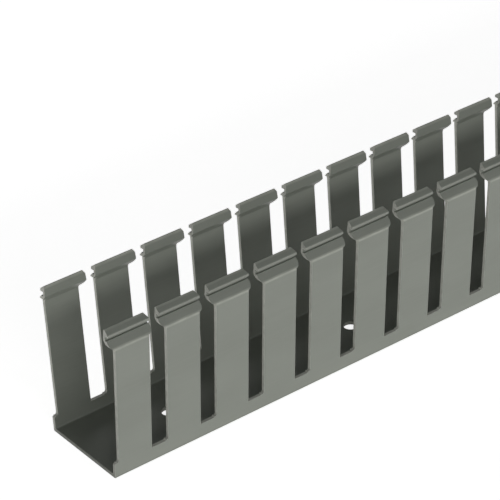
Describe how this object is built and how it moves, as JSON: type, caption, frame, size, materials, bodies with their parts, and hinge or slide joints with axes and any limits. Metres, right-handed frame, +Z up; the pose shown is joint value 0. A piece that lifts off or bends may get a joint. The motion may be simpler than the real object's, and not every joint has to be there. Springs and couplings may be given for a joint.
{
  "type": "slotted wire duct",
  "caption": "Straight open wiring duct: a grey PVC channel with slotted walls, hooked finger heads for a clip-on cover, and screw holes in its base.",
  "frame": {"origin": "centre of the underside", "axes": "+X along the duct, away from the sawn end with the set-back first finger; +Y across it; +Z up from the underside, out of the open top"},
  "size_m": [1.8288, 0.0516, 0.0729],
  "materials": {
    "pvc": "extruded rigid PVC, mid grey, dull satin"
  },
  "bodies": {
    "root": {"slotted_duct": "pvc"}
  },
  "joints": []
}
